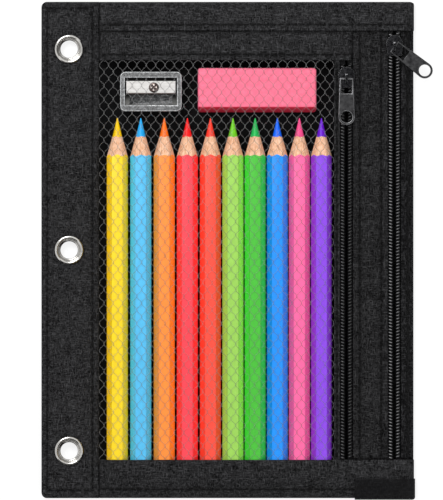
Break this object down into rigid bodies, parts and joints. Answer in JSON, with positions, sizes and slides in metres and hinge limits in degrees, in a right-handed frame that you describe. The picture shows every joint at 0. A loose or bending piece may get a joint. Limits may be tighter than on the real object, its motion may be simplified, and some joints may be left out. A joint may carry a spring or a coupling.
{
  "type": "ring binder pencil pouch",
  "caption": "Flat fabric pencil pouch for a ring binder: eyelet spine, net window pocket filled with pencils, eraser and sharpener, and two upright zips with sliding pulls.",
  "frame": {"origin": "middle of the back panel's outer face, which is the middle of the pouch's height and width", "axes": "+X across the pouch from the spine to the zipped edge, +Y up the pouch to its top binding, +Z out of the front with the net window"},
  "size_m": [0.2102, 0.2677, 0.0148],
  "materials": {
    "pouch_fabric": "matte woven, heathered black",
    "window_net": "matte knitted net",
    "label_cloth": "matte woven tape, bare",
    "zip_tape": "matte woven",
    "zip_coil": "satin nylon",
    "slider_metal": "gunmetal, satin",
    "eyelet_nickel": "nickel plate, polished",
    "stiffener_plastic": "matte",
    "eraser_vinyl": "matte",
    "sharpener_plastic": "clear moulded plastic, polished",
    "blade_steel": "bright, brushed",
    "paint_yellow": "gloss lacquer on cedar",
    "lead_yellow": "matte wax colour core",
    "paint_sky_blue": "gloss lacquer on cedar",
    "lead_sky_blue": "matte wax colour core",
    "paint_orange": "gloss lacquer on cedar",
    "lead_orange": "matte wax colour core",
    "paint_coral": "gloss lacquer on cedar",
    "lead_coral": "matte wax colour core",
    "paint_red": "gloss lacquer on cedar",
    "lead_red": "matte wax colour core",
    "paint_light_green": "gloss lacquer on cedar",
    "lead_light_green": "matte wax colour core",
    "paint_green": "gloss lacquer on cedar",
    "lead_green": "matte wax colour core",
    "paint_blue": "gloss lacquer on cedar",
    "lead_blue": "matte wax colour core",
    "paint_pink": "gloss lacquer on cedar",
    "lead_pink": "matte wax colour core",
    "paint_purple": "gloss lacquer on cedar",
    "lead_purple": "matte wax colour core"
  },
  "bodies": {
    "pouch": {"back_panel": "pouch_fabric", "middle_panel": "pouch_fabric", "top_binding": "pouch_fabric", "window_top_band": "pouch_fabric", "window_side_band": "pouch_fabric", "centre_band": "pouch_fabric", "right_strip": "pouch_fabric", "bottom_band": "pouch_fabric", "spine_strip": "pouch_fabric", "label_tag": "label_cloth", "mesh_window": "window_net", "mesh_window_left_side": "window_net", "mesh_window_right_side": "window_net", "spine_stiffener": "stiffener_plastic", "eyelet_top": "eyelet_nickel", "eyelet_washer_top": "eyelet_nickel", "eyelet_middle": "eyelet_nickel", "eyelet_washer_middle": "eyelet_nickel", "eyelet_bottom": "eyelet_nickel", "eyelet_washer_bottom": "eyelet_nickel", "front_zip_tape_left": "zip_tape", "front_zip_coil_left": "zip_coil", "front_zip_tape_right": "zip_tape", "front_zip_coil_right": "zip_coil", "main_zip_tape_left": "zip_tape", "main_zip_coil_left": "zip_coil", "main_zip_tape_right": "zip_tape", "main_zip_coil_right": "zip_coil", "pencil_yellow": "paint_yellow", "pencil_lead_yellow": "lead_yellow", "pencil_sky_blue": "paint_sky_blue", "pencil_lead_sky_blue": "lead_sky_blue", "pencil_orange": "paint_orange", "pencil_lead_orange": "lead_orange", "pencil_coral": "paint_coral", "pencil_lead_coral": "lead_coral", "pencil_red": "paint_red", "pencil_lead_red": "lead_red", "pencil_light_green": "paint_light_green", "pencil_lead_light_green": "lead_light_green", "pencil_green": "paint_green", "pencil_lead_green": "lead_green", "pencil_blue": "paint_blue", "pencil_lead_blue": "lead_blue", "pencil_pink": "paint_pink", "pencil_lead_pink": "lead_pink", "pencil_purple": "paint_purple", "pencil_lead_purple": "lead_purple", "eraser": "eraser_vinyl", "sharpener_body": "sharpener_plastic", "sharpener_blade": "blade_steel", "sharpener_screw": "blade_steel"},
    "front_slider": {"front_slider": "slider_metal"},
    "front_pull": {"front_pull": "slider_metal"},
    "main_slider": {"main_slider": "slider_metal"},
    "main_pull": {"main_pull": "slider_metal"}
  },
  "joints": [
    {"name": "front_slide", "type": "slide", "parent": "pouch", "child": "front_slider", "axis": [0, -1, 0], "range_m": [0, 0.198]},
    {"name": "front_pull_swing", "type": "hinge", "parent": "front_slider", "child": "front_pull", "pos_m": [0.0639, 0.0919, 0.0132], "axis": [-1, 0, 0], "range_deg": [0, 165]},
    {"name": "main_slide", "type": "slide", "parent": "pouch", "child": "main_slider", "axis": [0, -1, 0], "range_m": [0, 0.215]},
    {"name": "main_pull_swing", "type": "hinge", "parent": "main_slider", "child": "main_pull", "pos_m": [0.0897, 0.109, 0.0112], "axis": [-0.6157, -0.788, 0], "range_deg": [0, 150]}
  ]
}
